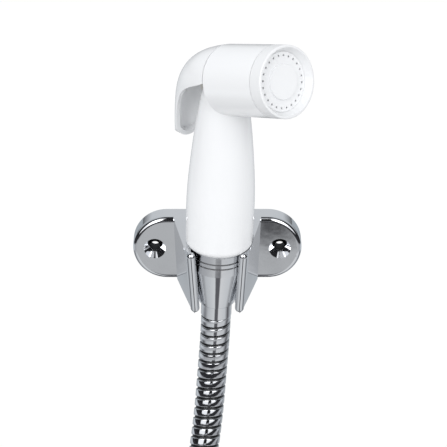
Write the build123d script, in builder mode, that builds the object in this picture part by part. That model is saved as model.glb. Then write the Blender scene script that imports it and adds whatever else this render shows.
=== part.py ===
from build123d import *
import os
from math import acos, atan2, cos, hypot, pi, radians, sin, sqrt, tan

os.makedirs("parts", exist_ok=True)

# Wall bracket. The wall is the plane Y = 0, and the origin lies midway between the two screw holes.
ear_span = 79.6
ear_height = 32.0
ear_thickness = 10.0
ear_edge_radius = 2.2
screw_spacing = 59.0
screw_hole_radius = 2.3
countersink_radius = 5.1
back_skin = 2.4
back_boss_radius = 5.0
body_half_width_top = 20.5
body_half_width_bottom = 18.9
body_bottom = -21.5
rim_front_height = 9.4
socket_wall_top = 4.2
socket_wall_bottom = 4.3
slot_half_width_top = 9.8
slot_half_width_bottom = 8.2
lip_radius = 2.1
lip_reach_top = 9.8
lip_reach_bottom = 5.4
dish_ledge = 0.95

# Handset's seat in the bracket, and how it stands there.
seat_depth = 27.0
seat_side = 0.3
seat_height = -2.0
lean_angle = 3.1
yaw_angle = 42.0
socket_clearance = 0.15
dish_clearance = 0.5

# Handle and head, in the handset's own frame: Z runs up the handle and X towards the spray side.
# The handle's shape is given by radii at shares of its length.
stub_radius = 10.3
stub_bottom = 3.5
handle_bottom = 12.8
handle_foot_radius = 15.1
handle_belly_radius = 15.5
handle_belly_share = 0.193989
handle_shape = [(15.3, 0.398907), (14.4, 0.576503), (12.9, 0.781421)]
neck_radius = 10.7
neck_drop = 9.1
foot_edge_radius = 3.6
head_height = 95.1
head_tilt = 17.5
head_radius = 15.6
head_back = 3.2
head_front = 33.6
dome_radius = 12.2
dome_depth = 11.2
waterway_radius = 4.0
waterway_margin = 0.4
chamber_radius = 11.9
chamber_back = 12.0
nose_radius = 13.3
spigot_length = 1.5
spigot_clearance = 0.4

# Spray ring, its nozzle plate and what lies behind it.
seam_gap = 0.3
ring_length = 6.2
ring_skirt_outer = 14.4
ring_skirt_inner = 13.5
ring_skirt_length = 6.0
ring_opening_radius = 12.8
ring_mouth_radius = 14.5
ring_edge_radius = 0.55
thread_clearance = 0.1
flow_disc_thickness = 1.0
flow_hole_radius = 0.9
flow_hole_count = 12
flow_hole_circle = 7.5
gasket_thickness = 0.6
plate_thickness = 1.0
plate_rebate = 0.5
nozzle_count = 24
nozzle_radius = 0.5
nozzle_circle = 11.1
centre_disc_radius = 7.8
centre_disc_rise = 0.9

# Valve, worked by the lever.
valve_drop = 3.6
valve_bore_radius = 4.6
valve_bore_back = -7.5
valve_bore_front = 8.0
seat_back = -2.5
seat_front = -1.0
seat_hole_radius = 2.6
outlet_radius = 1.6
outlet_rise = 2.9
outlet_offset = -4.2
stem_radius = 1.5
stem_running_fit = 0.06
stem_back = -16.2
stem_button_radius = 2.4
stem_button_thickness = 1.5
stem_disc_radius = 3.6
stem_disc_thickness = 1.2
stem_nose_length = 2.0
seal_thickness = 1.8
seal_radius = 3.8
seal_gap = 0.1
bonnet_flange_radius = 6.0
bonnet_flange_thickness = 1.6
bonnet_plug_length = 2.2
gland_depth = 1.6
bonnet_washer_thickness = 0.6
o_ring_wire = 0.7
spring_radius = 2.6
spring_wire = 0.4
spring_turns = 4.0
spring_end_gap = 0.1

# Thumb lever: each station is a section plane through one line across the handset, given by its
# angle, how far the open rim and the crown lie past the fan distance from that line, and half its
# width.
lever_wall = 2.0
lever_seam_gap = 0.5
lever_rim_height = 2.0
lever_fan_distance = 38.8
lever_stations = [
    (15.0, -0.6, 13.1, 14.6),
    (30.0, 0.2, 11.4, 12.0),
    (43.0, -0.1, 8.2, 9.7),
    (58.0, -1.9, 4.7, 8.4),
    (74.0, -2.5, 2.8, 7.4),
]
lever_tip_drop = 34.5
lever_tip_radius = 8.4
lever_pivot_back = -2.0
lever_pivot_rise = 4.0
pin_radius = 1.25
pin_running_fit = 0.05
pin_inner_end = 6.0
pin_outer_end = 13.2
cheek_pad_radius = 3.0
cheek_gap = 0.3
push_pad_radius = 2.6
push_gap = 0.3

# Cone nut, washer and nipple at the handset's end of the hose.
nut_top_gap = 0.3
nut_radius = 12.0
nut_taper_top = 2.0
nut_bottom = -17.0
nut_bottom_radius = 8.3
nut_chamfer = 0.6
nut_groove_heights = (8.5, 6.2)
nut_groove_depth = 0.35
washer_thickness = 2.0
washer_bore_radius = 5.0
flange_radius = 9.1
flange_thickness = 1.5
flange_gap = 0.2
nipple_bore_radius = 4.0
nipple_pipe_radius = 4.6
nipple_pipe_end = 1.6
nipple_neck_radius = 6.6
ferrule_radius = 7.15
ferrule_bottom = -23.6
ferrule_clearance = 0.2

# Hose: it leaves the ferrule straight, then its route hangs from the handset's end and runs into a
# coil past the view's lower edge.
hose_radius = 7.0
hose_exit_run = 12.0
hose_route = [
    (-2.3, -26.4, -54.0),
    (-4.4, -34.0, -79.0),
    (-8.5, -44.0, -105.0),
    (-18.5, -50.0, -135.0),
    (-32.6, -48.0, -163.7),
]
coil_radius = 75.0
coil_start_angle = 157.0
coil_start = (-45.9, -48.0, -195.0)
coil_turns = 2 + (180.0 - coil_start_angle) / 360.0
coil_pitch = 14.2
tail_length = 49.0
bend_share = 0.45
tie_arc = 10.0
tie_thickness = 1.2
tie_clearance = 0.1
coil_corner_radius = 3.0
coil_margin = 0.2

# Far end of the hose.
lower_ferrule_length = 15.0
lower_neck_length = 4.3
supply_nut_flat = 24.0
supply_nut_length = 14.0
supply_thread_radius = 9.35
supply_nut_floor = 3.5
thread_relief_radius = 9.6
thread_relief_margin = 0.2
supply_nut_chamfer = 1.4
nipple_running_fit = 0.1

# Handset's frames.
yaw = radians(yaw_angle)
lean = radians(lean_angle)
tilt = radians(head_tilt)
neck_height = head_height - neck_drop
handle_length = neck_height - handle_bottom
valve_height = head_height - valve_drop
outlet_height = head_height + outlet_rise
lever_tip_height = head_height - lever_tip_drop
outward = Vector(sin(yaw), -cos(yaw), 0)
handle_axis = Vector(0, 0, 1) * cos(lean) + outward * sin(lean)
spray_side = outward * cos(lean) - Vector(0, 0, 1) * sin(lean)
seat_point = Vector(seat_side, -seat_depth, seat_height)
handset_plane = Plane(origin=seat_point, x_dir=spray_side, z_dir=handle_axis)
across = handset_plane.y_dir
side_plane = Plane(origin=seat_point, x_dir=spray_side, z_dir=-across)
handset_axis = Axis(seat_point, handle_axis)
head_dir = spray_side * cos(tilt) + handle_axis * sin(tilt)
head_rise = handle_axis * cos(tilt) - spray_side * sin(tilt)
head_centre = seat_point + handle_axis * head_height
head_plane = Plane(origin=head_centre, x_dir=across, z_dir=head_dir)
head_side_plane = Plane(origin=head_centre, x_dir=head_dir, z_dir=-across)
head_axis = Axis(head_centre, head_dir)
valve_centre = seat_point + handle_axis * valve_height
valve_plane = Plane(origin=valve_centre, x_dir=across, z_dir=spray_side)
valve_side_plane = Plane(origin=valve_centre, x_dir=spray_side, z_dir=-across)
valve_axis = Axis(valve_centre, spray_side)
pivot_point = head_centre + head_dir * lever_pivot_back + head_rise * lever_pivot_rise
pivot_plane = Plane(origin=pivot_point, x_dir=spray_side, z_dir=across)


def finish(builder, name):
    """Label one finished piece and write it."""
    builder.part.label = name
    export_step(builder.part, f"parts/{name}.step")


def arc_radius(half_width, rise):
    """Radius of the arc that stands so high over a chord of so much to each side."""
    return (half_width * half_width + rise * rise) / (2 * rise)


def flank_end(half_width, radius):
    """Where a straight flank of the bracket's body touches the round front about the socket."""
    back = seat_depth - ear_thickness
    turn = atan2(back, half_width) - acos(radius / sqrt(half_width ** 2 + back ** 2))
    return radius * cos(turn), radius * sin(turn) - seat_depth


# Socket block of the bracket: its plan tapers downwards with the socket's wall.
socket_top_radius = nut_radius + socket_clearance
socket_bottom_radius = nut_bottom_radius + socket_clearance
plans = (
    (ear_height / 2, body_half_width_top, socket_top_radius + socket_wall_top),
    (body_bottom, body_half_width_bottom, socket_bottom_radius + socket_wall_bottom),
)
rim_slope = (ear_height / 2 - rim_front_height) / (seat_depth + plans[0][2] - ear_thickness)
block_front = 2 * seat_depth
with BuildPart() as socket_block:
    for plan_height, half_width, front_radius in plans:
        touch_x, touch_y = flank_end(half_width, front_radius)
        with BuildSketch(Plane.XY.offset(plan_height)):
            with BuildLine():
                Polyline((touch_x, touch_y), (half_width, -ear_thickness), (half_width, 0))
                Line((half_width, 0), (-half_width, 0))
                Polyline((-half_width, 0), (-half_width, -ear_thickness), (-touch_x, touch_y))
                ThreePointArc(
                    (-touch_x, touch_y), (0, -seat_depth - front_radius), (touch_x, touch_y)
                )
            make_face()
    loft()
    with BuildSketch(Plane.YZ):
        with BuildLine():
            Polyline(
                (0, -ear_height / 2),
                (-ear_thickness, -ear_height / 2),
                (-seat_depth - socket_bottom_radius, body_bottom),
                (-block_front, body_bottom),
                (-block_front, ear_height / 2 - rim_slope * (block_front - ear_thickness)),
                (-ear_thickness, ear_height / 2),
                (0, ear_height / 2),
                close=True,
            )
        make_face()
    extrude(amount=ear_span, both=True, mode=Mode.INTERSECT)

# Rounded lips down both sides of the slot.
with BuildPart() as slot_lips:
    for side in (1, -1):
        low = Vector(
            side * (slot_half_width_bottom + lip_radius),
            -seat_depth - lip_reach_bottom,
            body_bottom + lip_radius,
        )
        high = Vector(
            side * (slot_half_width_top + lip_radius), -seat_depth - lip_reach_top, rim_front_height
        )
        with BuildSketch(Plane(origin=low, z_dir=high - low)):
            Circle(lip_radius)
        extrude(amount=(high - low).length)
        with Locations(low, high):
            Sphere(lip_radius)

# Wall bracket, hollow behind its ears.
dish_low = handle_bottom - dish_clearance
dish_start = socket_top_radius + dish_ledge
dish_radius = handle_belly_radius + 2 * dish_clearance
slot_taper = (slot_half_width_top - slot_half_width_bottom) / (rim_front_height - body_bottom)
slot_reach = 12.0
with BuildPart() as wall_bracket:
    with BuildSketch(Plane.XZ):
        SlotOverall(ear_span, ear_height)
    extrude(amount=ear_thickness)
    fillet(wall_bracket.edges().group_by(Axis.Y)[0], ear_edge_radius)
    add(socket_block.part)
    with BuildSketch(Plane.XZ.offset(seat_depth)):
        upper = slot_half_width_top + lip_radius + slot_taper * slot_reach
        lower = slot_half_width_bottom + lip_radius - slot_taper * slot_reach
        with BuildLine():
            Polyline(
                (-upper, rim_front_height + slot_reach),
                (upper, rim_front_height + slot_reach),
                (lower, body_bottom - slot_reach),
                (-lower, body_bottom - slot_reach),
                close=True,
            )
        make_face()
    extrude(amount=seat_depth, mode=Mode.SUBTRACT)
    add(slot_lips.part)
    with BuildSketch(side_plane):
        with BuildLine():
            Polyline(
                (0, 2 * body_bottom),
                (socket_bottom_radius, 2 * body_bottom),
                (socket_bottom_radius, nut_bottom),
                (socket_top_radius, nut_taper_top),
                (socket_top_radius, dish_low),
                (dish_start, dish_low),
                (dish_radius, dish_low + dish_radius - dish_start),
                (dish_radius, ear_height),
                (0, ear_height),
                close=True,
            )
        make_face()
    revolve(axis=handset_axis, mode=Mode.SUBTRACT)
    with Locations(Plane.XZ.offset(ear_thickness)):
        with GridLocations(screw_spacing, 1, 2, 1):
            CounterSinkHole(screw_hole_radius, countersink_radius)
    with BuildSketch(Plane.XZ):
        SlotOverall(ear_span - 2 * back_skin, ear_height - 2 * back_skin)
        with GridLocations(screw_spacing, 1, 2, 1):
            Circle(back_boss_radius, mode=Mode.SUBTRACT)
        with GridLocations(body_half_width_top, 1, 2, 1):
            Rectangle(back_skin, ear_height, mode=Mode.SUBTRACT)
    extrude(amount=ear_thickness - back_skin, mode=Mode.SUBTRACT)
finish(wall_bracket, "wall_bracket")

# Handset body: handle and head barrel in one moulding.
ring_back = head_front + seam_gap
neck_top = neck_height + neck_radius
dome_arc = arc_radius(dome_radius, dome_depth)
dome_middle = head_back - dome_depth + dome_arc
inlet_top = valve_height
waterway_offset = seat_front + waterway_radius + waterway_margin
with BuildPart() as handset_body:
    with BuildSketch(side_plane):
        with BuildLine():
            Polyline(
                (0, neck_top),
                (0, stub_bottom),
                (stub_radius, stub_bottom),
                (stub_radius, handle_bottom),
                (handle_foot_radius, handle_bottom),
            )
            Spline(
                (handle_foot_radius, handle_bottom),
                (handle_belly_radius, handle_bottom + handle_belly_share * handle_length),
                *[(radius, handle_bottom + share * handle_length) for radius, share in handle_shape],
                (neck_radius, neck_height),
                tangents=((0.06, 1), (-0.15, 1)),
            )
            RadiusArc((neck_radius, neck_height), (0, neck_top), -neck_radius)
        make_face()
    revolve(axis=handset_axis)
    foot_edges = handset_body.edges().filter_by(GeomType.CIRCLE).filter_by(
        lambda edge: abs(edge.radius - handle_foot_radius) < 0.01
    )
    fillet(foot_edges, foot_edge_radius)
    with BuildSketch(head_plane.offset(head_back)):
        Circle(head_radius)
    extrude(amount=head_front - head_back)
    with BuildSketch(head_side_plane):
        with BuildLine():
            Line((head_back - dome_depth, 0), (head_back, 0))
            Line((head_back, 0), (head_back, dome_radius))
            RadiusArc((head_back, dome_radius), (head_back - dome_depth, 0), -dome_arc)
        make_face()
    revolve(axis=head_axis)
    with BuildSketch(head_plane.offset(head_back)):
        Circle(head_radius - lever_wall - spigot_clearance)
        with Locations((0, lever_rim_height + spigot_clearance)):
            Rectangle(2 * head_radius, head_radius, align=(Align.CENTER, Align.MIN), mode=Mode.INTERSECT)
    extrude(amount=-spigot_length)
    with BuildSketch(head_plane.offset(head_front)):
        Circle(nose_radius)
    extrude(amount=seam_gap)
    with BuildSketch(head_plane.offset(chamber_back)):
        Circle(chamber_radius)
    extrude(amount=ring_back - chamber_back, mode=Mode.SUBTRACT)
    with BuildSketch(head_plane.offset(ring_back - ring_skirt_length - seam_gap)):
        Circle(ring_skirt_outer + thread_clearance)
        Circle(nose_radius, mode=Mode.SUBTRACT)
    extrude(amount=ring_skirt_length, mode=Mode.SUBTRACT)
    with BuildSketch(handset_plane.offset(stub_bottom)):
        with Locations((waterway_offset, 0)):
            Circle(waterway_radius)
    extrude(amount=inlet_top - stub_bottom, mode=Mode.SUBTRACT)
    with BuildSketch(valve_plane.offset(valve_bore_back)):
        Circle(valve_bore_radius)
    extrude(amount=seat_back - valve_bore_back, mode=Mode.SUBTRACT)
    with BuildSketch(valve_plane.offset(seat_back)):
        Circle(seat_hole_radius)
    extrude(amount=seat_front - seat_back, mode=Mode.SUBTRACT)
    with BuildSketch(valve_plane.offset(seat_front)):
        Circle(valve_bore_radius)
    extrude(amount=valve_bore_front - seat_front, mode=Mode.SUBTRACT)
    with BuildSketch(valve_plane.offset(valve_bore_back)):
        Circle(bonnet_flange_radius + thread_clearance)
    extrude(amount=-dome_depth, mode=Mode.SUBTRACT)
    with BuildSketch(handset_plane.offset(valve_height)):
        with Locations((outlet_offset, 0)):
            Circle(outlet_radius)
    extrude(amount=outlet_height - valve_height, mode=Mode.SUBTRACT)
    outlet_point = seat_point + handle_axis * outlet_height + spray_side * outlet_offset
    with BuildSketch(Plane(origin=outlet_point, x_dir=across, z_dir=head_dir)):
        Circle(outlet_radius)
    extrude(amount=chamber_back - outlet_offset, mode=Mode.SUBTRACT)
    for side in (1, -1):
        with BuildSketch(pivot_plane.offset(side * pin_inner_end)):
            Circle(pin_radius)
        extrude(amount=side * dome_radius, mode=Mode.SUBTRACT)
finish(handset_body, "handset_body")

# Spray ring: a bezel whose threaded skirt goes into the head and whose lip holds the plate.
ring_front = ring_back + ring_length
disc_radius = ring_skirt_inner - thread_clearance
gasket_back = ring_back + flow_disc_thickness
plate_back = gasket_back + gasket_thickness
lip_start = plate_back + plate_thickness
plate_front = lip_start + plate_rebate
with BuildPart() as spray_ring:
    with BuildSketch(head_side_plane):
        with BuildLine():
            Polyline(
                (ring_back - ring_skirt_length, ring_skirt_inner),
                (ring_back - ring_skirt_length, ring_skirt_outer),
                (ring_back, ring_skirt_outer),
                (ring_back, head_radius),
                (ring_front, head_radius),
                (ring_front, ring_mouth_radius),
                (plate_front, ring_opening_radius),
                (lip_start, ring_opening_radius),
                (lip_start, ring_skirt_inner),
                close=True,
            )
        make_face()
    revolve(axis=head_axis)
    outer_edges = spray_ring.edges().filter_by(GeomType.CIRCLE).filter_by(
        lambda edge: abs(edge.radius - head_radius) < 0.01
    )
    front_rim = outer_edges.sort_by(head_axis)[-1]
    fillet(front_rim, ring_edge_radius)
finish(spray_ring, "spray_ring")

# Flow disc, gasket and nozzle plate, stacked inside the ring's skirt.
with BuildPart() as flow_disc:
    with BuildSketch(head_plane.offset(ring_back)):
        Circle(disc_radius)
        with PolarLocations(flow_hole_circle, flow_hole_count):
            Circle(flow_hole_radius, mode=Mode.SUBTRACT)
    extrude(amount=flow_disc_thickness)
finish(flow_disc, "flow_disc")

with BuildPart() as plate_gasket:
    with BuildSketch(head_plane.offset(gasket_back)):
        Circle(disc_radius)
        Circle(chamber_radius, mode=Mode.SUBTRACT)
    extrude(amount=gasket_thickness)
finish(plate_gasket, "plate_gasket")

with BuildPart() as spray_plate:
    with BuildSketch(head_plane.offset(plate_back)):
        Circle(disc_radius)
    extrude(amount=plate_thickness)
    with BuildSketch(head_plane.offset(lip_start)):
        Circle(ring_opening_radius - thread_clearance)
    extrude(amount=plate_rebate)
    with BuildSketch(head_plane.offset(plate_front)):
        Circle(centre_disc_radius)
    extrude(amount=centre_disc_rise, taper=20)
    with BuildSketch(head_plane.offset(plate_back)):
        with PolarLocations(nozzle_circle, nozzle_count):
            Circle(nozzle_radius)
    extrude(amount=plate_front - plate_back, mode=Mode.SUBTRACT)
finish(spray_plate, "spray_plate")

# Valve: a bonnet with its washer and ring seal, and the sprung stem with its seal.
washer_back = valve_bore_back - bonnet_washer_thickness
plug_front = washer_back + bonnet_plug_length
gland_radius = stem_radius + stem_running_fit + 2 * o_ring_wire
with BuildPart() as valve_bonnet:
    with BuildSketch(valve_plane.offset(washer_back)):
        Circle(bonnet_flange_radius)
    extrude(amount=-bonnet_flange_thickness)
    with BuildSketch(valve_plane.offset(washer_back)):
        Circle(valve_bore_radius - thread_clearance)
    extrude(amount=bonnet_plug_length)
    with BuildSketch(valve_plane.offset(plug_front)):
        Circle(gland_radius + thread_clearance)
    extrude(amount=-gland_depth, mode=Mode.SUBTRACT)
    with BuildSketch(valve_plane.offset(plug_front)):
        Circle(stem_radius + stem_running_fit)
    extrude(amount=-bonnet_plug_length - bonnet_flange_thickness, mode=Mode.SUBTRACT)
finish(valve_bonnet, "valve_bonnet")

with BuildPart() as bonnet_washer:
    with BuildSketch(valve_plane.offset(washer_back)):
        Circle(bonnet_flange_radius)
        Circle(valve_bore_radius, mode=Mode.SUBTRACT)
    extrude(amount=bonnet_washer_thickness)
finish(bonnet_washer, "bonnet_washer")

with BuildPart() as stem_o_ring:
    with BuildSketch(valve_side_plane):
        with Locations((plug_front - gland_depth / 2, gland_radius - o_ring_wire)):
            Circle(o_ring_wire)
    revolve(axis=valve_axis)
finish(stem_o_ring, "stem_o_ring")

seal_back = seat_front + seal_gap
disc_back = seal_back + seal_thickness
disc_front = disc_back + stem_disc_thickness
with BuildPart() as valve_stem:
    with BuildSketch(valve_plane.offset(stem_back)):
        Circle(stem_button_radius)
    extrude(amount=stem_button_thickness)
    fillet(valve_stem.edges().sort_by(valve_axis)[0], stem_button_thickness / 3)
    with BuildSketch(valve_plane.offset(stem_back + stem_button_thickness)):
        Circle(stem_radius)
    extrude(amount=disc_front + stem_nose_length - stem_back - stem_button_thickness)
    with BuildSketch(valve_plane.offset(disc_back)):
        Circle(stem_disc_radius)
    extrude(amount=stem_disc_thickness)
finish(valve_stem, "valve_stem")

with BuildPart() as valve_seal:
    with BuildSketch(valve_plane.offset(seal_back)):
        Circle(seal_radius)
        Circle(stem_radius, mode=Mode.SUBTRACT)
    extrude(amount=seal_thickness)
finish(valve_seal, "valve_seal")

spring_start = disc_front + spring_end_gap + spring_wire
spring_length = valve_bore_front - spring_end_gap - spring_wire - spring_start
with BuildPart() as valve_spring:
    with BuildLine():
        winding = Helix(
            pitch=spring_length / spring_turns,
            height=spring_length,
            radius=spring_radius,
            center=valve_centre + spray_side * spring_start,
            direction=spray_side,
        )
    with BuildSketch(Plane(origin=winding @ 0, z_dir=winding % 0)):
        Circle(spring_wire)
    sweep(is_frenet=True)
finish(valve_spring, "valve_spring")

# Thumb lever: a hooked shell. Its sections fan out from one line across the handset, and each is an
# arc over a chord, so the rim and the crown are smooth curves.
lever_front = head_back - lever_seam_gap
fan_point = head_centre + head_dir * lever_front + head_rise * (lever_rim_height - lever_fan_distance)
seam_station = (
    0.0, 0.0, head_radius - lever_rim_height, sqrt(head_radius ** 2 - lever_rim_height ** 2)
)
stations = [
    (angle, lever_fan_distance + rim, lever_fan_distance + crown, half_width)
    for angle, rim, crown, half_width in (seam_station, *lever_stations)
]
tip_centre_height = lever_tip_height + lever_tip_radius


def fan_plane(angle):
    """The section plane at an angle from the seam, with X across and Y away from the fan's line."""
    turn = radians(angle)
    reach = head_rise * cos(turn) - head_dir * sin(turn)
    return Plane(origin=fan_point, x_dir=across, z_dir=across.cross(reach))


with BuildPart() as lever_outside:
    for angle, rim, crown, half_width in stations:
        with BuildSketch(fan_plane(angle)):
            with BuildLine():
                Line((-half_width, rim), (half_width, rim))
                ThreePointArc((half_width, rim), (0, crown), (-half_width, rim))
            make_face()
    loft()
    with BuildSketch(Plane(origin=seat_point, x_dir=across, z_dir=spray_side)):
        with Locations((0, tip_centre_height)):
            Circle(lever_tip_radius)
        with Locations((0, tip_centre_height + head_height)):
            Rectangle(2 * head_height, 2 * head_height)
    extrude(amount=-head_height, both=True, mode=Mode.INTERSECT)

rim_overcut = 1.0
with BuildPart() as lever_inside:
    for angle, rim, crown, half_width in stations:
        radius = arc_radius(half_width, crown - rim)
        centre = crown - radius
        floor = rim - rim_overcut
        inner_radius = radius - lever_wall
        inner_half_width = sqrt(inner_radius ** 2 - (floor - centre) ** 2)
        with BuildSketch(fan_plane(angle)):
            with BuildLine():
                Line((-inner_half_width, floor), (inner_half_width, floor))
                ThreePointArc(
                    (inner_half_width, floor), (0, crown - lever_wall), (-inner_half_width, floor)
                )
            make_face()
    loft()
    with BuildSketch(Plane(origin=seat_point, x_dir=across, z_dir=spray_side)):
        with Locations((0, tip_centre_height)):
            Circle(lever_tip_radius - lever_wall)
        with Locations((0, tip_centre_height + head_height)):
            Rectangle(2 * head_height, 2 * head_height)
    extrude(amount=-head_height, both=True, mode=Mode.INTERSECT)

cheek_reach = hypot(dome_middle - lever_pivot_back, lever_pivot_rise) - cheek_pad_radius
cheek_pad_inner = sqrt(dome_arc ** 2 - cheek_reach ** 2) + cheek_gap
with BuildPart() as lever_pads:
    for side in (1, -1):
        with BuildSketch(pivot_plane.offset(side * cheek_pad_inner)):
            Circle(cheek_pad_radius)
        extrude(amount=side * head_radius)
    with BuildSketch(valve_plane.offset(stem_back - push_gap)):
        Circle(push_pad_radius)
    extrude(amount=-head_radius)
    add(lever_outside.part, mode=Mode.INTERSECT)

with BuildPart() as thumb_lever:
    add(lever_outside.part)
    add(lever_inside.part, mode=Mode.SUBTRACT)
    add(lever_pads.part)
    for side in (1, -1):
        with BuildSketch(pivot_plane.offset(side * pin_inner_end)):
            Circle(pin_radius + pin_running_fit)
        extrude(amount=side * (pin_outer_end + pin_running_fit - pin_inner_end), mode=Mode.SUBTRACT)
finish(thumb_lever, "thumb_lever")

with BuildPart() as lever_pins:
    for side in (1, -1):
        with BuildSketch(pivot_plane.offset(side * pin_inner_end)):
            Circle(pin_radius)
        extrude(amount=side * (pin_outer_end - pin_inner_end))
finish(lever_pins, "lever_pins")

# Cone nut, and the washer, nipple and ferrule that it holds to the handset.
flange_top = stub_bottom - washer_thickness
flange_bottom = flange_top - flange_thickness
nut_floor = flange_bottom - flange_gap
nut_top = handle_bottom - nut_top_gap
nut_lower_bore = ferrule_radius + ferrule_clearance
groove_outline = []
for groove_height in sorted(nut_groove_heights):
    groove_outline.append((nut_radius, groove_height - nut_groove_depth))
    groove_outline.append((nut_radius - nut_groove_depth, groove_height))
    groove_outline.append((nut_radius, groove_height + nut_groove_depth))
with BuildPart() as cone_nut:
    with BuildSketch(side_plane):
        with BuildLine():
            Polyline(
                (nut_lower_bore, nut_bottom),
                (nut_bottom_radius - nut_chamfer, nut_bottom),
                (nut_bottom_radius, nut_bottom + nut_chamfer),
                (nut_radius, nut_taper_top),
                *groove_outline,
                (nut_radius, nut_top - nut_chamfer),
                (nut_radius - nut_chamfer, nut_top),
                (stub_radius + thread_clearance, nut_top),
                (stub_radius + thread_clearance, nut_floor),
                (nut_lower_bore, nut_floor),
                close=True,
            )
        make_face()
    revolve(axis=handset_axis)
finish(cone_nut, "cone_nut")

with BuildPart() as handset_washer:
    with BuildSketch(handset_plane.offset(flange_top)):
        Circle(flange_radius)
        Circle(washer_bore_radius, mode=Mode.SUBTRACT)
    extrude(amount=washer_thickness)
finish(handset_washer, "handset_washer")

with BuildPart() as upper_nipple:
    with BuildSketch(handset_plane.offset(flange_bottom)):
        Circle(flange_radius)
        Circle(nipple_bore_radius, mode=Mode.SUBTRACT)
    extrude(amount=flange_thickness)
    with BuildSketch(handset_plane.offset(ferrule_bottom + nipple_pipe_end)):
        Circle(nipple_pipe_radius)
        Circle(nipple_bore_radius, mode=Mode.SUBTRACT)
    extrude(amount=flange_bottom - ferrule_bottom - nipple_pipe_end)
finish(upper_nipple, "upper_nipple")

with BuildPart() as upper_ferrule:
    with BuildSketch(handset_plane.offset(ferrule_bottom)):
        Circle(ferrule_radius)
        Circle(nipple_pipe_radius, mode=Mode.SUBTRACT)
    extrude(amount=flange_bottom - ferrule_bottom)
finish(upper_ferrule, "upper_ferrule")

# Hose: straight runs joined by tangent arcs, from the ferrule to the start of the coil.
hose_start = seat_point + handle_axis * ferrule_bottom
hose_exit = hose_start - handle_axis * hose_exit_run
route = [hose_start, hose_exit, *[Vector(*point) for point in hose_route], Vector(*coil_start)]
radii = []
for before, corner, after in zip(route, route[1:], route[2:]):
    arriving = corner - before
    leaving = after - corner
    half_turn = radians(arriving.get_angle(leaving)) / 2
    radii.append(bend_share * min(arriving.length, leaving.length) / tan(half_turn))
print("hose bend radii, mm:", [round(radius) for radius in radii])
with BuildPart() as hose:
    with BuildLine():
        hose_line = FilletPolyline(*route, radius=radii)
    with BuildSketch(Plane(origin=hose_line @ 0, z_dir=hose_line % 0)):
        Circle(hose_radius)
    sweep()
finish(hose, "hose")
hose_section = pi * hose_radius ** 2
print("hose run, mm:", round(hose_line.length, 1))
print("hose volume over section times length:", hose.part.volume / (hose_section * hose_line.length))

# Coil of the put-away length, round a level line towards the wall, and the tail that hangs from it.
start_turn = radians(coil_start_angle)
coil_centre_x = coil_start[0] - coil_radius * cos(start_turn)
coil_centre_z = coil_start[2] - coil_radius * sin(start_turn)
coil_half_width = hose_radius + coil_margin
coil_front = coil_start[1] - coil_half_width
coil_end_y = coil_start[1] + coil_pitch * coil_turns
coil_back = coil_end_y + coil_half_width
coil_axis = Axis((coil_centre_x, 0, coil_centre_z), (0, -1, 0))
coil_plane = Plane(origin=(coil_centre_x, 0, coil_centre_z), x_dir=(1, 0, 0), z_dir=(0, 0, 1))
tail_top = Vector(coil_centre_x - coil_radius, coil_end_y, coil_centre_z)
tail_plane = Plane(origin=tail_top, x_dir=(1, 0, 0), z_dir=(0, 0, -1))
with BuildPart() as hose_tail:
    with BuildSketch(tail_plane):
        Circle(hose_radius)
    extrude(amount=tail_length)
finish(hose_tail, "hose_tail")

with BuildPart() as hose_coil:
    with BuildSketch(coil_plane):
        with Locations((coil_radius, (coil_back + coil_front) / 2)):
            RectangleRounded(2 * coil_half_width, coil_back - coil_front, coil_corner_radius)
    revolve(axis=coil_axis)
    add(hose.part, mode=Mode.SUBTRACT)
    add(hose_tail.part, mode=Mode.SUBTRACT)
finish(hose_coil, "hose_coil")

coil_length = 2 * pi * coil_radius * coil_turns
print("hose length, mm:", round(hose_line.length + coil_length + tail_length, 1))

tie_inner = tie_clearance
tie_outer = tie_clearance + tie_thickness
with BuildPart() as hose_tie:
    with BuildSketch(coil_plane):
        with Locations((coil_radius, (coil_back + coil_front) / 2)):
            Rectangle(2 * (coil_half_width + tie_outer), coil_back - coil_front + 2 * tie_outer)
            Rectangle(
                2 * (coil_half_width + tie_inner),
                coil_back - coil_front + 2 * tie_inner,
                mode=Mode.SUBTRACT,
            )
    revolve(axis=coil_axis, revolution_arc=tie_arc)
finish(hose_tie, "hose_tie")

# Far end of the hose: ferrule, nipple, washer and the union nut that turns on the nipple.
end_point = tail_top - Vector(0, 0, tail_length)
end_plane = Plane(origin=end_point, x_dir=(1, 0, 0), z_dir=(0, 0, -1))
lower_flange_start = lower_ferrule_length + lower_neck_length
lower_flange_end = lower_flange_start + flange_thickness
with BuildPart() as lower_ferrule:
    with BuildSketch(end_plane):
        Circle(ferrule_radius)
        Circle(nipple_pipe_radius, mode=Mode.SUBTRACT)
    extrude(amount=lower_ferrule_length)
finish(lower_ferrule, "lower_ferrule")

with BuildPart() as lower_nipple:
    with BuildSketch(end_plane.offset(nipple_pipe_end)):
        Circle(nipple_pipe_radius)
    extrude(amount=lower_ferrule_length - nipple_pipe_end)
    with BuildSketch(end_plane.offset(lower_ferrule_length)):
        Circle(nipple_neck_radius)
    extrude(amount=lower_neck_length)
    with BuildSketch(end_plane.offset(lower_flange_start)):
        Circle(flange_radius)
    extrude(amount=flange_thickness)
    with BuildSketch(end_plane.offset(nipple_pipe_end)):
        Circle(nipple_bore_radius)
    extrude(amount=lower_flange_end - nipple_pipe_end, mode=Mode.SUBTRACT)
finish(lower_nipple, "lower_nipple")

with BuildPart() as supply_washer:
    with BuildSketch(end_plane.offset(lower_flange_end)):
        Circle(flange_radius)
        Circle(washer_bore_radius, mode=Mode.SUBTRACT)
    extrude(amount=washer_thickness)
finish(supply_washer, "supply_washer")

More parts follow.
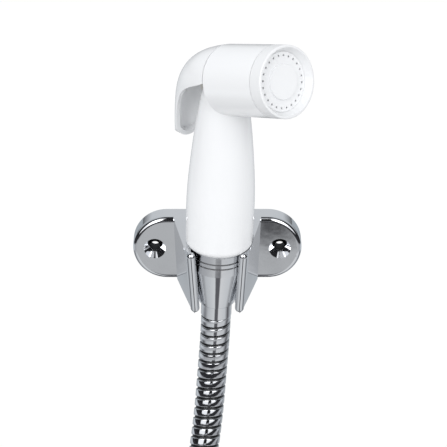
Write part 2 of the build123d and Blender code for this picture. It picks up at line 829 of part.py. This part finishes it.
nut_start = lower_flange_start - flange_gap - supply_nut_floor
nut_end = nut_start + supply_nut_length
relief_end = lower_flange_end + washer_thickness + thread_relief_margin
hex_radius = supply_nut_flat / sqrt(3)
end_side_plane = Plane(origin=end_point, x_dir=(1, 0, 0), z_dir=(0, 1, 0))
with BuildPart() as supply_nut:
    with BuildSketch(end_plane.offset(nut_start)):
        RegularPolygon(hex_radius, 6)
    extrude(amount=supply_nut_length)
    with BuildSketch(end_side_plane):
        with BuildLine():
            Polyline(
                (0, nut_start),
                (hex_radius - supply_nut_chamfer, nut_start),
                (hex_radius, nut_start + supply_nut_chamfer / 2),
                (hex_radius, nut_end - supply_nut_chamfer / 2),
                (hex_radius - supply_nut_chamfer, nut_end),
                (0, nut_end),
                close=True,
            )
        make_face()
    revolve(axis=Axis(end_point, (0, 0, -1)), mode=Mode.INTERSECT)
    with BuildSketch(end_plane.offset(nut_start)):
        Circle(nipple_neck_radius + nipple_running_fit)
    extrude(amount=supply_nut_length, mode=Mode.SUBTRACT)
    with BuildSketch(end_plane.offset(nut_start + supply_nut_floor)):
        Circle(supply_thread_radius)
    extrude(amount=supply_nut_length - supply_nut_floor, mode=Mode.SUBTRACT)
    with BuildSketch(end_plane.offset(nut_start + supply_nut_floor)):
        Circle(thread_relief_radius)
    extrude(amount=relief_end - nut_start - supply_nut_floor, mode=Mode.SUBTRACT)
finish(supply_nut, "supply_nut")
print("supply nut, mm from the tail's end:", nut_start, relief_end, nut_end)
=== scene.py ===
"""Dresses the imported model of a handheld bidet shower: materials, ribbed hose, studio and camera."""
from math import cos, pi, radians, sin

import bmesh
import bpy
from bpy.props import FloatProperty, FloatVectorProperty, PointerProperty
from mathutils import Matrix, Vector


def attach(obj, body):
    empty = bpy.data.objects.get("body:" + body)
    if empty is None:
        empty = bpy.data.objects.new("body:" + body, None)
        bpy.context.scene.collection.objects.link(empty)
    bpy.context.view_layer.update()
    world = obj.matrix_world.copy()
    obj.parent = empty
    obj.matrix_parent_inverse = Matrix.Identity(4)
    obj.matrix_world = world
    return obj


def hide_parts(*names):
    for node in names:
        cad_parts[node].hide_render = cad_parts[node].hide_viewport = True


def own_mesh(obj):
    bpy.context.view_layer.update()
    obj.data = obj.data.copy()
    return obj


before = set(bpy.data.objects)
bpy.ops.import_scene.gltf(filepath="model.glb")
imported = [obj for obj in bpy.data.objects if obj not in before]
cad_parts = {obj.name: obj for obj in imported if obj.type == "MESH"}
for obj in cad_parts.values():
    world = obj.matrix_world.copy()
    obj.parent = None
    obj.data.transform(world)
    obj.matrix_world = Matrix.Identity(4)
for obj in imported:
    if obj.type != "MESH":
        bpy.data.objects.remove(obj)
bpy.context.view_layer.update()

bl_info = {
    "name": "Handheld bidet shower",
    "version": (1, 0, 0),
    "blender": (4, 5, 0),
    "location": "View3D > Sidebar > Bidet shower",
    "description": "Finishes, ribbed hose and studio for a handheld bidet shower on its wall bracket",
    "category": "Object",
}

# Where the hose leaves the ferrule, and the points its line follows down to the coil.
HOSE_EXIT = (-0.000554, -0.0260515, -0.0255655)
HOSE_ROUTE = [
    HOSE_EXIT,
    (-0.0009883, -0.0255693, -0.0375479),
    (-0.0023, -0.0264, -0.054),
    (-0.0044, -0.034, -0.079),
    (-0.0085, -0.044, -0.105),
    (-0.0185, -0.050, -0.135),
    (-0.0326, -0.048, -0.1637),
]
COIL_START_Y = -0.048
COIL_CENTRE = (0.0231379, -0.2243048)
COIL_RADIUS = 0.075
COIL_START_ANGLE = 157.0
COIL_TURNS = 2 + 23.0 / 360.0
COIL_PITCH = 0.0142
COIL_POINTS_PER_TURN = 18
TAIL_LENGTH = 0.049

# One rib and groove of the hose: share of the pitch, and depth from the rib (0) to the groove (1).
RIB_PROFILE = [
    (0.0, 1.0), (0.10, 0.95), (0.15, 0.3), (0.18, 0.04), (0.22, 0.0),
    (0.80, 0.0), (0.83, 0.04), (0.86, 0.3), (0.91, 0.95),
]
HOSE_SIDES = 26

# The bracket's screw holes, each side of its middle.
HOLE_OFFSET = 0.0295
HOLE_RADIUS = 0.00238

# The handle's axis, how far along it the handset's seat lies, and the cone nut's two grooves above
# the seat.
HANDLE_AXIS = (0.036186, -0.040188, 0.998537)
SEAT_ALONG = -0.0009011
GROOVE_HEIGHTS = (0.0085, 0.0062)
GROOVE_HALF_WIDTH = 0.00039

CHROME_NODES = ["upper_ferrule", "lower_ferrule", "supply_nut"]
WHITE_NODES = ["handset_body", "spray_plate", "thumb_lever"]
RUBBER_NODES = [
    "plate_gasket", "bonnet_washer", "stem_o_ring", "valve_seal", "handset_washer", "supply_washer",
]
INNER_NODES = ["flow_disc", "valve_bonnet", "valve_stem"]
STEEL_NODES = ["valve_spring", "lever_pins"]
BRASS_NODES = ["upper_nipple", "lower_nipple"]

# Camera, as the photograph was taken.
CAMERA_PLACE = (0.00292, -0.71699, 0.35493)
CAMERA_PITCH = 64.2
CAMERA_LENS = 135.05

# Two square lamps in front, which face the handset.
LAMPS = [("left_box", (-0.62, -1.15, 0.75), 6.2), ("right_box", (0.62, -1.15, 0.75), 5.0)]
LAMP_SIZE = 0.7
LAMP_TARGET = (0.0, -0.03, 0.02)

WHITE = (1.0, 1.0, 1.0, 1.0)
SHADED = (0.05, 0.05, 0.055, 1.0)
DARK = (0.03, 0.03, 0.034, 1.0)
BLACK = (0.015, 0.015, 0.017, 1.0)
DIM = (0.42, 0.43, 0.45, 1.0)
FILL = (0.86, 0.865, 0.88, 1.0)
SOFT_BOX = (1.15, 1.17, 1.2, 1.0)

# What mirrors see of the studio: tones by the way round, from behind on the left through the front
# (0.5) to behind on the right, on the floor near the piece and farther out. Then the cards, from the
# front to behind. Distances are from under the bracket.
FLOOR_NEAR = [
    (0.0, (0.20, 0.21, 0.22)), (0.12, (0.55, 0.58, 0.61)), (0.24, (0.10, 0.10, 0.11)),
    (0.32, (0.55, 0.57, 0.59)), (0.458, (0.70, 0.72, 0.73)), (0.472, (0.12, 0.12, 0.13)),
    (0.526, (0.12, 0.12, 0.13)), (0.540, (0.72, 0.73, 0.74)), (0.68, (0.62, 0.64, 0.66)),
    (0.76, (0.10, 0.10, 0.11)), (0.88, (0.55, 0.58, 0.61)), (1.0, (0.20, 0.21, 0.22)),
]
FLOOR_FAR = [
    (0.0, (0.22, 0.23, 0.25)), (0.08, (0.42, 0.46, 0.49)), (0.19, (0.66, 0.70, 0.74)),
    (0.30, (0.40, 0.41, 0.43)), (0.47, (0.50, 0.51, 0.52)), (0.53, (0.50, 0.51, 0.52)),
    (0.70, (0.40, 0.41, 0.43)), (0.81, (0.66, 0.70, 0.74)), (0.92, (0.42, 0.46, 0.49)),
    (1.0, (0.22, 0.23, 0.25)),
]
FLOOR_UNDER_PIECE = 0.10
FLOOR_NEAR_END = 0.56
FLOOR_SIDES_DARK = 0.95
FLOOR_FRONT_DARK = 0.84
FLOOR_SPOT = (0.046, -0.74)
CARDS = [
    (0.0, (0.015, 0.015, 0.017)), (0.50, (0.02, 0.02, 0.022)), (0.58, (0.34, 0.36, 0.38)),
    (0.8, (0.60, 0.63, 0.66)), (1.0, (0.66, 0.68, 0.70)),
]


# Shader maths

class Socket:
    """A shader socket or a number, with the operators that a mask needs."""

    def __init__(self, tree, value):
        self.tree = tree
        self.value = value

    def math(self, operation, *others):
        node = self.tree.nodes.new("ShaderNodeMath")
        node.operation = operation
        for index, item in enumerate((self, *others)):
            item = item.value if isinstance(item, Socket) else item
            if isinstance(item, (int, float)):
                node.inputs[index].default_value = item
            else:
                self.tree.links.new(item, node.inputs[index])
        return Socket(self.tree, node.outputs[0])

    def __add__(self, other):
        return self.math("ADD", other)

    def __radd__(self, other):
        return self.math("ADD", other)

    def __sub__(self, other):
        return self.math("SUBTRACT", other)

    def __rsub__(self, other):
        return Socket(self.tree, other).math("SUBTRACT", self)

    def __mul__(self, other):
        return self.math("MULTIPLY", other)

    def __rmul__(self, other):
        return self.math("MULTIPLY", other)

    def clamp(self):
        return self.math("MAXIMUM", 0.0).math("MINIMUM", 1.0)

    def past(self, start, slope):
        """0 up to the start, then rising to 1 at the slope."""
        return ((self - start) * slope).clamp()

    def short_of(self, end, slope):
        """0 from the end on, and before it rising to 1 at the slope."""
        return ((end - self) * slope).clamp()


class Finish:
    """A material's node tree, emptied, and one method that adds any node to it."""

    def __init__(self, owner):
        owner.use_nodes = True
        self.tree = owner.node_tree
        self.tree.nodes.clear()

    def node(self, kind, settings=None, inputs=None, output=0):
        made = self.tree.nodes.new(kind)
        for name, value in (settings or {}).items():
            if name == "stops":
                ramp = made.color_ramp
                while len(ramp.elements) < len(value):
                    ramp.elements.new(0.5)
                for element, (place, colour) in zip(ramp.elements, value):
                    element.position = place
                    element.color = (*colour, 1.0) if len(colour) == 3 else colour
            else:
                setattr(made, name, value)
        for name, value in (inputs or {}).items():
            if isinstance(value, Socket):
                self.tree.links.new(value.value, made.inputs[name])
            else:
                made.inputs[name].default_value = value
        return Socket(self.tree, made.outputs[output])

    def spread(self, kind):
        """X, Y and Z of one kind of texture coordinate."""
        place = self.node("ShaderNodeTexCoord", output=kind)
        return [self.node("ShaderNodeSeparateXYZ", inputs={"Vector": place}, output=axis) for axis in "XYZ"]

    def ray(self, kind):
        return self.node("ShaderNodeLightPath", output=f"Is {kind} Ray")

    def noise(self, scale, detail=3.0, roughness=0.5):
        place = self.node("ShaderNodeTexCoord", output="Object")
        return self.node("ShaderNodeTexNoise", inputs={
            "Vector": place, "Scale": scale, "Detail": detail, "Roughness": roughness,
        })

    def mix(self, factor, first, second):
        return self.node("ShaderNodeMix", {"data_type": "RGBA"}, {0: factor, 6: first, 7: second}, output=2)

    def bump(self, height, strength, distance):
        return self.node("ShaderNodeBump", inputs={
            "Height": height, "Strength": strength, "Distance": distance,
        })

    def end(self, shader, kind="ShaderNodeOutputMaterial"):
        out = self.tree.nodes.new(kind)
        self.tree.links.new(shader.value, out.inputs["Surface"])

    def surface(self, inputs):
        self.end(self.node("ShaderNodeBsdfPrincipled", inputs=inputs))


def new_finish(name):
    material = bpy.data.materials.new(name)
    return material, Finish(material)


def rgba(colour):
    return (*colour, 1.0)


def shade(colour, factor):
    return (*[channel * factor for channel in colour], 1.0)


# Finishes

def plated_chrome(colours, name="bright_chrome", painted_shade_and_dulling=None):
    """Bright plating: faint waviness from the moulding under it, finger smears, and places with painted shade
    that are also dulled.
    """
    material, finish = new_finish(name)
    smear = finish.noise(90.0, 4.0, 0.6)
    wave = finish.noise(160.0, 2.0, 0.4)
    tone = finish.mix(smear, rgba(colours.chrome), shade(colours.chrome, 0.94))
    blur = (smear - 0.35).clamp() * 0.12 + colours.chrome_roughness
    if painted_shade_and_dulling:
        share = painted_shade_and_dulling(finish)
        # Painted shade: the masked places are mixed to near black (0.03), and their roughness rises.
        tone = finish.mix(share, tone, (0.03, 0.03, 0.033, 1.0))
        blur = blur + share * 0.5
    finish.surface({
        "Base Color": tone, "Metallic": 1.0, "Roughness": blur, "Normal": finish.bump(wave, 0.06, 0.0004),
    })
    return material


def screw_bore_shade(finish):
    """1 inside the bracket's two screw holes, where shade is painted on the chrome."""
    across, _, up = finish.spread("Object")
    aside = across.math("ABSOLUTE") - HOLE_OFFSET
    return 1.0 - (aside * aside + up * up).math("SQRT").past(HOLE_RADIUS, 12000.0)


def nut_groove_shade(finish):
    """Up to 0.8 in the two fine grooves round the cone nut, where shade is painted on the chrome."""
    place = finish.node("ShaderNodeTexCoord", output="Object")
    along = finish.node(
        "ShaderNodeVectorMath", {"operation": "DOT_PRODUCT"}, {0: place, 1: HANDLE_AXIS}, output="Value",
    ) - SEAT_ALONG
    upper, lower = [
        (along - height).math("ABSOLUTE").short_of(GROOVE_HALF_WIDTH, 20000.0) for height in GROOVE_HEIGHTS
    ]
    return (upper + lower) * 0.8


def white_moulding(colours, name="white_gloss_moulding", share=1.0, dulling=0.0):
    """Gloss white plastic with a faint moulded texture and slow changes of tone; a share below 1 darkens the
    whole colour as painted shade.
    """
    material, finish = new_finish(name)
    tone = finish.noise(30.0, 3.0, 0.5)
    grain = finish.noise(2600.0, 2.0, 0.6)
    finish.surface({
        "Base Color": finish.mix(tone, shade(colours.plastic, share), shade(colours.plastic, 0.975 * share)),
        "Roughness": grain * 0.06 + tone * 0.05 + colours.plastic_roughness + dulling,
        "Specular IOR Level": 0.5,
        "Normal": finish.bump(grain, 0.03, 0.00004),
    })
    return material


def inner_moulding():
    material, finish = new_finish("natural_moulding")
    tone = finish.noise(120.0, 3.0, 0.5)
    finish.surface({
        "Base Color": finish.mix(tone, (0.72, 0.71, 0.66, 1.0), (0.64, 0.63, 0.58, 1.0)),
        "Roughness": tone * 0.1 + 0.42,
    })
    return material


def hose_strip(colours):
    """Interlocked strip: bright ribs, with painted shade down in the grooves, which are also duller, as the
    mesh says.
    """
    material, finish = new_finish("bright_hose_strip")
    depth = finish.node("ShaderNodeAttribute", {"attribute_name": "groove"}, output="Fac")
    smear = finish.noise(260.0, 3.0, 0.6)
    wave = finish.noise(420.0, 2.0, 0.5)
    finish.surface({
        # Painted shade: the grooves go to 5 % of the crest colour.
        "Base Color": finish.mix(depth, rgba(colours.hose), shade(colours.hose, 0.05)),
        "Metallic": 1.0,
        "Roughness": depth * 0.35 + smear * 0.04 + colours.hose_roughness,
        "Normal": finish.bump(wave, 0.12, 0.0003),
    })
    return material


def black_rubber():
    material, finish = new_finish("black_rubber")
    tone = finish.noise(700.0, 4.0, 0.6)
    finish.surface({
        "Base Color": finish.mix(tone, (0.018, 0.018, 0.018, 1.0), (0.04, 0.04, 0.04, 1.0)),
        "Roughness": tone * 0.2 + 0.55,
        "Normal": finish.bump(tone, 0.15, 0.0001),
    })
    return material


def drawn_steel():
    material, finish = new_finish("drawn_steel")
    line = finish.noise(900.0, 3.0, 0.6)
    finish.surface({
        "Base Color": finish.mix(line, (0.56, 0.56, 0.57, 1.0), (0.42, 0.42, 0.43, 1.0)),
        "Metallic": 1.0,
        "Roughness": line * 0.15 + 0.22,
    })
    return material


def turned_brass():
    material, finish = new_finish("turned_brass")
    line = finish.noise(700.0, 3.0, 0.6)
    finish.surface({
        "Base Color": finish.mix(line, (0.72, 0.53, 0.22, 1.0), (0.55, 0.38, 0.14, 1.0)),
        "Metallic": 1.0,
        "Roughness": line * 0.15 + 0.2,
    })
    return material


def tie_band():
    material, finish = new_finish("tie_band")
    tone = finish.noise(400.0, 3.0, 0.5)
    finish.surface({
        "Base Color": finish.mix(tone, (0.62, 0.62, 0.6, 1.0), (0.5, 0.5, 0.48, 1.0)),
        "Roughness": tone * 0.15 + 0.5,
    })
    return material


def wear(names, material):
    """Give CAD nodes a finish in place of the plain one they load with."""
    for name in names:
        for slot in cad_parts[name].material_slots:
            slot.material = material


# Settings

class BidetColours(bpy.types.PropertyGroup):
    chrome: FloatVectorProperty(
        name="Chrome", description="Plated bracket, nut and ferrules", subtype="COLOR",
        size=3, default=(0.80, 0.81, 0.83), min=0.0, max=1.0,
    )
    plastic: FloatVectorProperty(
        name="Plastic", description="Moulded handset, lever and spray face", subtype="COLOR",
        size=3, default=(0.86, 0.87, 0.88), min=0.0, max=1.0,
    )
    hose: FloatVectorProperty(
        name="Hose", description="Crests of the hose's metal strip", subtype="COLOR",
        size=3, default=(0.74, 0.75, 0.77), min=0.0, max=1.0,
    )
    chrome_roughness: FloatProperty(
        name="Chrome roughness", description="Blur of the plating's reflections", subtype="FACTOR",
        default=0.05, min=0.0, max=1.0,
    )
    hose_roughness: FloatProperty(
        name="Hose roughness", description="Blur of the hose's reflections", subtype="FACTOR",
        default=0.05, min=0.0, max=1.0,
    )
    plastic_roughness: FloatProperty(
        name="Plastic roughness", description="Blur of the plastic's gloss", subtype="FACTOR",
        default=0.12, min=0.0, max=1.0,
    )


class BidetSizes(bpy.types.PropertyGroup):
    hose_radius: FloatProperty(
        name="Hose radius", description="Radius over the hose's ribs", unit="LENGTH",
        default=0.007, min=0.003, max=0.02, precision=4,
    )
    rib_pitch: FloatProperty(
        name="Rib pitch", description="Distance from one rib to the next", unit="LENGTH",
        default=0.0048, min=0.001, max=0.02, precision=4,
    )
    groove_depth: FloatProperty(
        name="Groove depth", description="How far the grooves lie under the ribs", unit="LENGTH",
        default=0.0007, min=0.0, max=0.003, precision=4,
    )
    floor_height: FloatProperty(
        name="Floor height", description="Height of the studio floor", unit="LENGTH",
        default=-0.34, min=-5.0, max=0.0,
    )


# Pieces

class BIDET_OT_stage(bpy.types.Operator):
    """Camera at the photograph's angle, pale floor, plain lights and white surroundings"""
    bl_idname = "bidet.stage"
    bl_label = "Studio"

    def execute(self, context):
        sizes = context.scene.bidet_sizes
        scene = context.scene
        scene.view_settings.view_transform = "Standard"

        camera = bpy.data.cameras.new("camera")
        camera.lens = CAMERA_LENS
        camera.sensor_width = 36.0
        camera.clip_start = 0.01
        camera.clip_end = 50.0
        seat = bpy.data.objects.new("camera", camera)
        seat.location = CAMERA_PLACE
        seat.rotation_euler = (radians(CAMERA_PITCH), 0.0, 0.0)
        scene.collection.objects.link(seat)
        scene.camera = seat

        for name, place, power in LAMPS:
            self.lamp(name, place, power)

        bpy.ops.object.select_all(action="DESELECT")
        bpy.ops.mesh.primitive_grid_add(x_subdivisions=8, y_subdivisions=8, size=14.0)
        floor = context.object
        floor.name = "floor"
        for vertex in floor.data.vertices:
            vertex.co.z += sizes.floor_height
        floor.data.materials.append(self.floor_finish())
        self.surroundings(scene)
        return {"FINISHED"}

    @staticmethod
    def lamp(name, place, power):
        data = bpy.data.lights.new(name, "AREA")
        data.shape = "RECTANGLE"
        data.size = LAMP_SIZE
        data.size_y = LAMP_SIZE
        data.energy = power
        lamp = bpy.data.objects.new(name, data)
        lamp.location = place
        lamp.rotation_euler = (Vector(LAMP_TARGET) - Vector(place)).to_track_quat("-Z", "Y").to_euler()
        bpy.context.scene.collection.objects.link(lamp)

    @staticmethod
    def floor_finish():
        """White to the camera, plain with a shadow to light, and a banded card to mirrors."""
        material, finish = new_finish("pale_floor")
        seen, mirror = finish.ray("Camera"), finish.ray("Glossy")
        x, y, _ = finish.spread("Object")
        around = x.math("ARCTAN2", y * -1.0) * (0.5 / pi) + 0.5
        away = (x * x + y * y).math("SQRT")
        near = finish.node("ShaderNodeValToRGB", {"stops": FLOOR_NEAR}, {"Fac": around})
        far = finish.node("ShaderNodeValToRGB", {"stops": FLOOR_FAR}, {"Fac": around})
        tone = finish.mix(away.past(FLOOR_NEAR_END, 14.0), near, far)
        tone = finish.mix(away.past(FLOOR_UNDER_PIECE, 12.0), SHADED, tone)
        spot_x = x - FLOOR_SPOT[0]
        spot_y = (y - FLOOR_SPOT[1]) * 0.8
        spot = ((spot_x * spot_x + spot_y * spot_y).math("SQRT") * 26.0 - 0.35).clamp()
        tone = finish.mix(spot, SHADED, tone)
        front = (y * -1.0).past(FLOOR_FRONT_DARK, 5.0)
        sides = away.past(FLOOR_SIDES_DARK, 5.0) * (around - 0.5).math("ABSOLUTE").short_of(0.34, 30.0)
        tone = finish.mix(front.math("MAXIMUM", sides), tone, DARK)
        tone = finish.mix(mirror, WHITE, tone)
        white = finish.node("ShaderNodeEmission", inputs={"Color": tone, "Strength": 1.04})
        plain = finish.node("ShaderNodeBsdfDiffuse", inputs={"Color": (0.62, 0.62, 0.62, 1.0)})
        finish.end(finish.node("ShaderNodeMixShader", inputs={0: seen * 0.94 + mirror, 1: plain, 2: white}))
        return material

    @staticmethod
    def surroundings(scene):
        """White to the camera; mirrors see two soft boxes on black in front and grey card behind."""
        world = bpy.data.worlds.new("studio")
        scene.world = world
        finish = Finish(world)
        seen, mirror, through = finish.ray("Camera"), finish.ray("Glossy"), finish.ray("Transmission")
        x, y, z = finish.spread("Generated")
        around = x.math("ARCTAN2", y * -1.0).math("ABSOLUTE") * (1.0 / pi)
        cards = finish.node("ShaderNodeValToRGB", {"stops": CARDS}, {"Fac": around})
        boxes = (
            around.past(0.058, 60.0) * around.short_of(0.31, 40.0)
            * z.past(-0.02, 20.0) * z.short_of(0.95, 20.0)
        )
        horizon = z.math("ABSOLUTE").short_of(0.055, 60.0) * around.short_of(0.052, 60.0)
        tone = finish.mix((z * 3.0 + 0.3).clamp(), BLACK, cards)
        tone = finish.mix(z.past(0.86, 8.0), tone, DARK)
        tone = finish.mix(horizon, tone, DIM)
        tone = finish.mix(boxes, tone, SOFT_BOX)
        tone = finish.mix(mirror, FILL, tone)
        tone = finish.mix(seen.math("MAXIMUM", through), tone, WHITE)
        light = finish.node("ShaderNodeBackground", inputs={"Color": tone, "Strength": 1.0})
        finish.end(light, "ShaderNodeOutputWorld")


class BIDET_OT_hose(bpy.types.Operator):
    """Ribbed metal hose along its smooth line, with its put-away coil and tail"""
    bl_idname = "bidet.hose"
    bl_label = "Hose"

    def execute(self, context):
        sizes = context.scene.bidet_sizes
        line = self.centre_line(context)
        hose = self.ribbed_tube(line, sizes.hose_radius, sizes.rib_pitch, sizes.groove_depth)
        hose.data.materials.append(hose_strip(context.scene.bidet_colours))
        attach(hose, "bidet")
        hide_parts("hose", "hose_coil", "hose_tail")
        return {"FINISHED"}

    @staticmethod
    def centre_line(context):
        """Points along one smooth curve whose control points are the hose's route, coil and tail."""
        points = [*HOSE_ROUTE]
        steps = round(COIL_TURNS * COIL_POINTS_PER_TURN)
        for step in range(steps + 1):
            share = step / steps
            angle = radians(COIL_START_ANGLE + 360.0 * COIL_TURNS * share)
            points.append((
                COIL_CENTRE[0] + COIL_RADIUS * cos(angle),
                COIL_START_Y + COIL_PITCH * COIL_TURNS * share,
                COIL_CENTRE[1] + COIL_RADIUS * sin(angle),
            ))
        end = points[-1]
        points.append((end[0], end[1], end[2] - TAIL_LENGTH / 2))
        points.append((end[0], end[1], end[2] - TAIL_LENGTH))

        curve = bpy.data.curves.new("hose_line", "CURVE")
        curve.dimensions = "3D"
        curve.resolution_u = 24
        spline = curve.splines.new("NURBS")
        spline.points.add(len(points) - 1)
        for point, place in zip(spline.points, points):
            point.co = (*place, 1.0)
        spline.order_u = 3
        spline.use_endpoint_u = True
        holder = bpy.data.objects.new("hose_line", curve)
        context.scene.collection.objects.link(holder)
        mesh = bpy.data.meshes.new_from_object(holder)
        line = [vertex.co.copy() for vertex in mesh.vertices]
        bpy.data.meshes.remove(mesh)
        bpy.data.objects.remove(holder)
        bpy.data.curves.remove(curve)
        return line

    @staticmethod
    def ribbed_tube(line, radius, pitch, groove):
        """A tube whose skin is a helix of rounded ribs with narrow grooves between them."""
        sides = HOSE_SIDES
        lengths = [0.0]
        for before, after in zip(line, line[1:]):
            lengths.append(lengths[-1] + (after - before).length)
        total = lengths[-1]
        tangents = []
        for index in range(len(line)):
            before = line[max(index - 1, 0)]
            after = line[min(index + 1, len(line) - 1)]
            tangents.append((after - before).normalized())
        frames = []
        normal = Vector((0.0, -1.0, 0.0))
        for tangent in tangents:
            normal = (normal - tangent * normal.dot(tangent)).normalized()
            frames.append((normal.copy(), tangent.cross(normal)))

        def ring_at(distance):
            distance = min(max(distance, 0.0), total)
            low, high = 0, len(lengths) - 1
            while high - low > 1:
                middle = (low + high) // 2
                if lengths[middle] <= distance:
                    low = middle
                else:
                    high = middle
            share = (distance - lengths[low]) / (lengths[high] - lengths[low])
            (out, aside), (next_out, next_aside) = frames[low], frames[high]
            return line[low].lerp(line[high], share), out.lerp(next_out, share), aside.lerp(next_aside, share)

        mesh = bpy.data.meshes.new("ribbed_hose")
        shell = bmesh.new()
        layer = shell.verts.layers.float.new("groove")
        turns = int(total / pitch) + 2
        rows = []
        for turn in range(-1, turns):
            for phase, depth in RIB_PROFILE:
                row = []
                for side in range(sides):
                    distance = (turn + phase + side / sides) * pitch
                    place, out, aside = ring_at(distance)
                    angle = 2 * pi * side / sides
                    reach = radius - groove * depth
                    vertex = shell.verts.new(place + (out * cos(angle) + aside * sin(angle)) * reach)
                    vertex[layer] = depth
                    row.append(vertex)
                rows.append(row)
        count = len(RIB_PROFILE)
        for index in range(len(rows) - 1):
            for side in range(sides - 1):
                shell.faces.new((
                    rows[index][side], rows[index][side + 1],
                    rows[index + 1][side + 1], rows[index + 1][side],
                ))
            if index + 1 + count < len(rows):
                shell.faces.new((
                    rows[index][sides - 1], rows[index + count][0],
                    rows[index + 1 + count][0], rows[index + 1][sides - 1],
                ))
        bmesh.ops.remove_doubles(shell, verts=shell.verts, dist=1e-6)
        loose = [vertex for vertex in shell.verts if not vertex.link_faces]
        bmesh.ops.delete(shell, geom=loose, context="VERTS")
        rims = [edge for edge in shell.edges if edge.is_boundary]
        bmesh.ops.holes_fill(shell, edges=rims)
        bmesh.ops.recalc_face_normals(shell, faces=shell.faces)
        shell.to_mesh(mesh)
        shell.free()
        hose = bpy.data.objects.new("ribbed_hose", mesh)
        bpy.context.scene.collection.objects.link(hose)
        for polygon in mesh.polygons:
            polygon.use_smooth = True
        return hose


class BIDET_OT_bracket(bpy.types.Operator):
    """Bright plating on the wall bracket, nuts and ferrules"""
    bl_idname = "bidet.bracket"
    bl_label = "Chromed pieces"

    def execute(self, context):
        colours = context.scene.bidet_colours
        wear(CHROME_NODES, plated_chrome(colours))
        # Painted shade inside the bracket's two screw holes.
        wear(["wall_bracket"], plated_chrome(colours, "holed_chrome", screw_bore_shade))
        # Painted shade in the cone nut's two fine grooves.
        wear(["cone_nut"], plated_chrome(colours, "grooved_chrome", nut_groove_shade))
        return {"FINISHED"}


class BIDET_OT_handset(bpy.types.Operator):
    """Gloss white plastic on the handset, spray ring, spray plate and lever"""
    bl_idname = "bidet.handset"
    bl_label = "White pieces"

    def execute(self, context):
        colours = context.scene.bidet_colours
        wear(WHITE_NODES, white_moulding(colours))
        # Painted shade: the spray ring is a copy of the white moulding darkened to 0.94, and rougher.
        wear(["spray_ring"], white_moulding(colours, "white_ring_moulding", 0.94, 0.3))
        return {"FINISHED"}


class BIDET_OT_inner_pieces(bpy.types.Operator):
    """Finishes of seals, valve, pins, nipples and tie, and a mesh of its own for the valve spring"""
    bl_idname = "bidet.inner_pieces"
    bl_label = "Inner pieces"

    def execute(self, context):
        wear(RUBBER_NODES, black_rubber())
        wear(INNER_NODES, inner_moulding())
        wear(STEEL_NODES, drawn_steel())
        wear(BRASS_NODES, turned_brass())
        wear(["hose_tie"], tie_band())
        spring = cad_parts["valve_spring"]
        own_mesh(spring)
        return {"FINISHED"}


class BIDET_PT_panel(bpy.types.Panel):
    """Sizes, colours and pieces of the shower"""
    bl_label = "Bidet shower"
    bl_idname = "BIDET_PT_panel"
    bl_space_type = "VIEW_3D"
    bl_region_type = "UI"
    bl_category = "Bidet shower"

    def draw(self, context):
        layout = self.layout
        for group in (context.scene.bidet_sizes, context.scene.bidet_colours):
            for name in group.__annotations__:
                layout.prop(group, name)
        for piece in PIECES:
            layout.operator(piece.bl_idname)


PIECES = (BIDET_OT_stage, BIDET_OT_hose, BIDET_OT_bracket, BIDET_OT_handset, BIDET_OT_inner_pieces)
CLASSES = (BidetColours, BidetSizes, *PIECES, BIDET_PT_panel)


def register():
    for cls in CLASSES:
        bpy.utils.register_class(cls)
    bpy.types.Scene.bidet_colours = PointerProperty(type=BidetColours)
    bpy.types.Scene.bidet_sizes = PointerProperty(type=BidetSizes)


def unregister():
    del bpy.types.Scene.bidet_sizes
    del bpy.types.Scene.bidet_colours
    for cls in reversed(CLASSES):
        bpy.utils.unregister_class(cls)


def main():
    register()
    bpy.ops.bidet.stage()
    bpy.ops.bidet.hose()
    bpy.ops.bidet.bracket()
    bpy.ops.bidet.handset()
    bpy.ops.bidet.inner_pieces()


if __name__ == "__main__":
    main()
